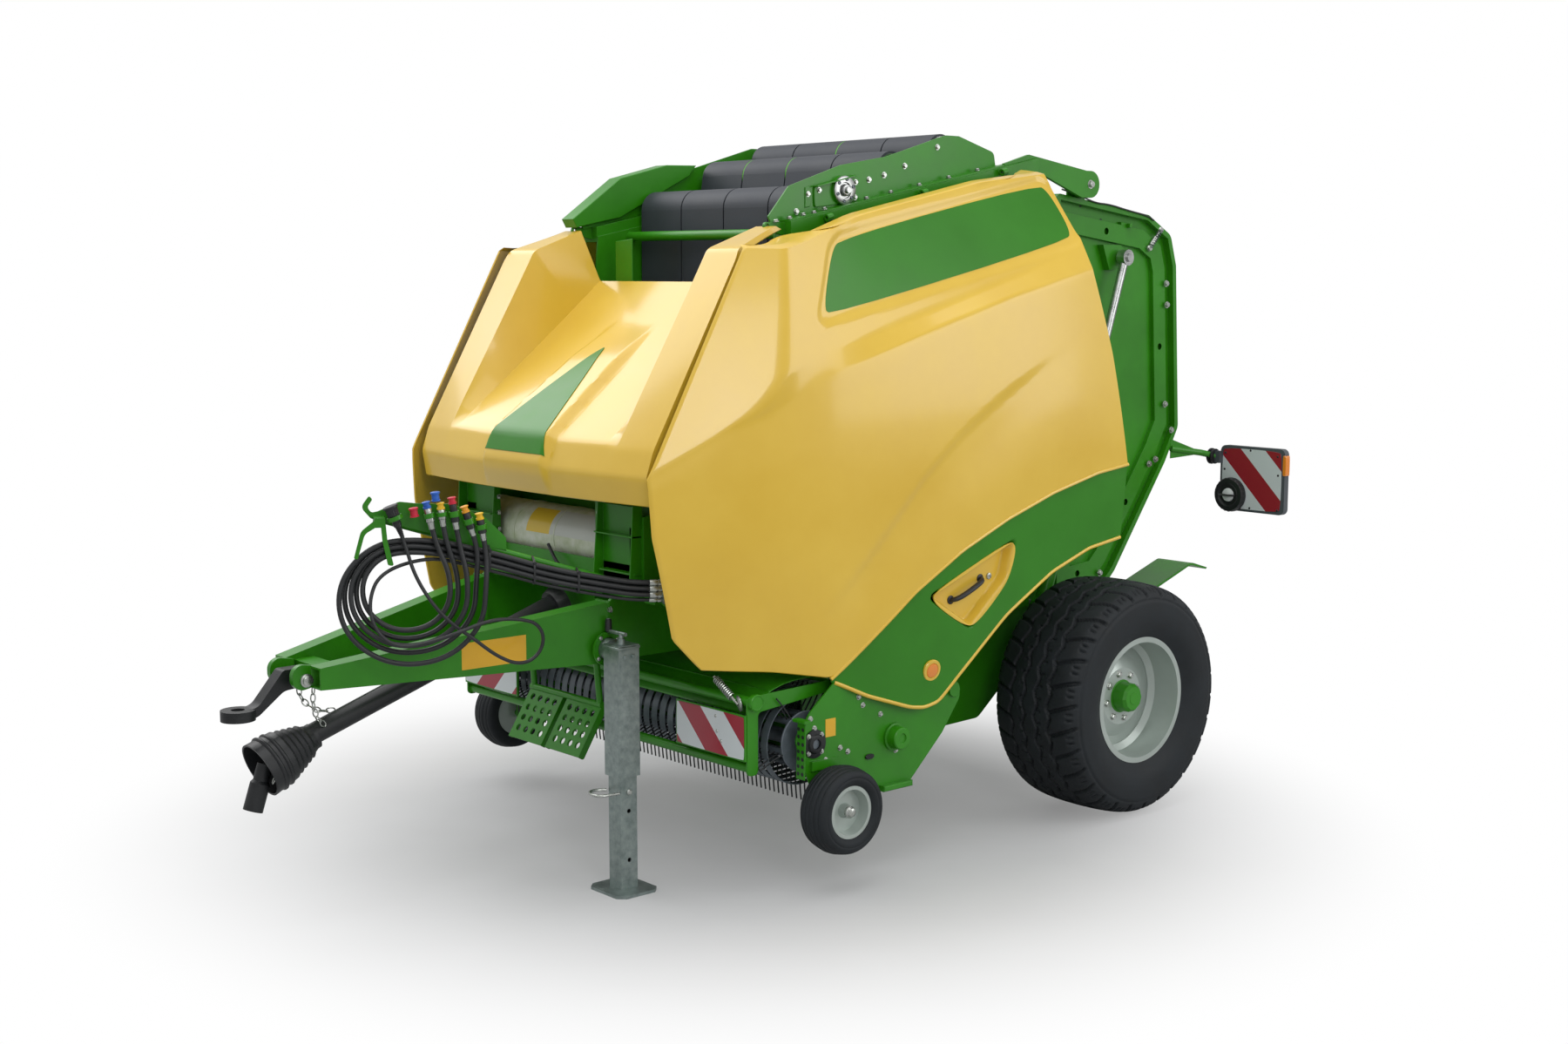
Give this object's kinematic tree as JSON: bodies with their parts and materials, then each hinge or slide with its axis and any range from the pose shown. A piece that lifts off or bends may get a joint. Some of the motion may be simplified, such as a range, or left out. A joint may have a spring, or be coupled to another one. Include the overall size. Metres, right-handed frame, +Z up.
{
  "type": "round baler",
  "caption": "Towed round baler: belt chamber under moulded covers, lifting tailgate, tined pickup, drawbar, parking jack and drive shaft, on rubber-tyred wheels.",
  "frame": {"origin": "on the ground under the middle of the overall box", "axes": "+X to the machine's left, -Y forward to the tractor, +Z up"},
  "size_m": [2.5946, 5.06, 3.0551],
  "materials": {
    "green_paint": "gloss",
    "yellow_cover": "gloss",
    "tyre": "matt",
    "silver_paint": "satin",
    "galvanised": "satin",
    "black_guard": "matt",
    "cast_black": "satin",
    "steel": "satin",
    "belt": "matt",
    "net": "matt",
    "board": "satin",
    "hose": "satin"
  },
  "bodies": {
    "chassis": {"axle_beam": "green_paint", "lower_frame": "green_paint", "drawbar": "green_paint", "hitch_eye": "cast_black", "gearbox": "green_paint", "shaft_guard": "black_guard", "hinge_arms": "green_paint", "belt_rollers": "steel", "front_belts": "belt", "tower_crossbars": "green_paint", "net_box": "green_paint", "net_roll": "net", "chamber_wall_left": "green_paint", "chamber_wall_right": "green_paint", "belt_tower_left": "green_paint", "belt_tower_right": "green_paint", "cylinder_pins": "galvanised", "bale_ramp": "green_paint", "access_step": "green_paint", "hose_holder": "green_paint", "hose_couplers": "black_guard", "hose_manifold": "galvanised", "hose_one": "hose", "hose_two": "hose", "hose_three": "hose", "hose_four": "hose", "hose_five": "hose", "electric_cable": "hose"},
    "wheel_left": {"tyre_left": "tyre", "rim_left": "silver_paint"},
    "wheel_right": {"tyre_right": "tyre", "rim_right": "silver_paint"},
    "tailgate": {"tailgate_plate_left": "green_paint", "tailgate_plate_right": "green_paint", "tailgate_frame": "green_paint", "tailgate_rollers": "steel", "tailgate_belts": "belt", "light_boards": "board"},
    "cylinder_barrels": {"cylinder_barrels": "green_paint"},
    "cylinder_rods": {"cylinder_rods": "steel"},
    "front_hood": {"front_hood": "yellow_cover"},
    "side_hood_left": {"side_hood_left": "yellow_cover"},
    "side_hood_right": {"side_hood_right": "yellow_cover"},
    "pickup": {"pickup_frame": "green_paint", "stripper_bands": "galvanised"},
    "tine_reel": {"tine_reel": "steel"},
    "crop_guard": {"crop_guard": "green_paint", "warning_boards": "board"},
    "gauge_wheel_left": {"gauge_tyre_left": "tyre", "gauge_rim_left": "silver_paint"},
    "gauge_wheel_right": {"gauge_tyre_right": "tyre", "gauge_rim_right": "silver_paint"},
    "feed_rotor": {"feed_rotor": "steel"},
    "jack": {"jack_case": "galvanised"},
    "jack_leg": {"jack_leg": "galvanised"},
    "drive_line": {"drive_yoke": "steel"}
  },
  "joints": [
    {"name": "wheel_left_spin", "type": "hinge", "parent": "chassis", "child": "wheel_left", "pos_m": [1.05, 1.3, 0.53], "axis": [1, 0, 0], "continuous": true},
    {"name": "wheel_right_spin", "type": "hinge", "parent": "chassis", "child": "wheel_right", "pos_m": [-1.05, 1.3, 0.53], "axis": [1, 0, 0], "continuous": true},
    {"name": "tailgate_lift", "type": "hinge", "parent": "chassis", "child": "tailgate", "pos_m": [0, 1.529, 2.857], "axis": [1, 0, 0], "range_deg": [0, 60]},
    {"name": "cylinder_swing", "type": "hinge", "parent": "chassis", "child": "cylinder_barrels", "pos_m": [0, 1.24, 0.9], "axis": [1, 0, 0], "range_deg": [-0.45, 0]},
    {"name": "cylinder_stroke", "type": "slide", "parent": "cylinder_barrels", "child": "cylinder_rods", "axis": [0, 0.3267, 0.9451], "range_m": [0, 0.4409]},
    {"name": "front_hood_lift", "type": "hinge", "parent": "chassis", "child": "front_hood", "pos_m": [0, -0.43, 2.64], "axis": [-1, 0, 0], "range_deg": [0, 45]},
    {"name": "side_hood_left_lift", "type": "hinge", "parent": "chassis", "child": "side_hood_left", "pos_m": [0.74, -0.33, 2.64], "axis": [0, -0.9794, -0.2018], "range_deg": [0, 55]},
    {"name": "side_hood_right_lift", "type": "hinge", "parent": "chassis", "child": "side_hood_right", "pos_m": [-0.74, -0.33, 2.64], "axis": [0, 0.9794, 0.2018], "range_deg": [0, 55]},
    {"name": "pickup_lower", "type": "hinge", "parent": "chassis", "child": "pickup", "pos_m": [0, 0.25, 0.7], "axis": [1, 0, 0], "range_deg": [0, 11]},
    {"name": "tine_reel_spin", "type": "hinge", "parent": "pickup", "child": "tine_reel", "pos_m": [0, -0.54, 0.59], "axis": [1, 0, 0], "continuous": true},
    {"name": "crop_guard_lift", "type": "hinge", "parent": "pickup", "child": "crop_guard", "pos_m": [0, -0.33, 0.8], "axis": [-1, 0, 0], "range_deg": [0, 8]},
    {"name": "gauge_wheel_left_spin", "type": "hinge", "parent": "pickup", "child": "gauge_wheel_left", "pos_m": [1.188, -0.482, 0.331], "axis": [1, 0, 0], "continuous": true},
    {"name": "gauge_wheel_right_spin", "type": "hinge", "parent": "pickup", "child": "gauge_wheel_right", "pos_m": [-1.188, -0.482, 0.331], "axis": [1, 0, 0], "continuous": true},
    {"name": "feed_rotor_spin", "type": "hinge", "parent": "chassis", "child": "feed_rotor", "pos_m": [0, 0.01, 0.65], "axis": [1, 0, 0], "continuous": true},
    {"name": "jack_fold", "type": "hinge", "parent": "chassis", "child": "jack", "pos_m": [0.555, -1.13, 0.966], "axis": [-1, 0, 0], "range_deg": [0, 90]},
    {"name": "jack_raise", "type": "slide", "parent": "jack", "child": "jack_leg", "axis": [0, 0, 1], "range_m": [0, 0.3]},
    {"name": "drive_line_spin", "type": "hinge", "parent": "chassis", "child": "drive_line", "pos_m": [0, -2.187, 0.668], "axis": [0, 0.9165, 0.4001], "continuous": true}
  ],
  "couplings": [
    {"joint": "cylinder_swing", "follows": "tailgate_lift", "ratio": -0.00714},
    {"joint": "cylinder_stroke", "follows": "tailgate_lift", "m_per_rad": 0.41273}
  ]
}
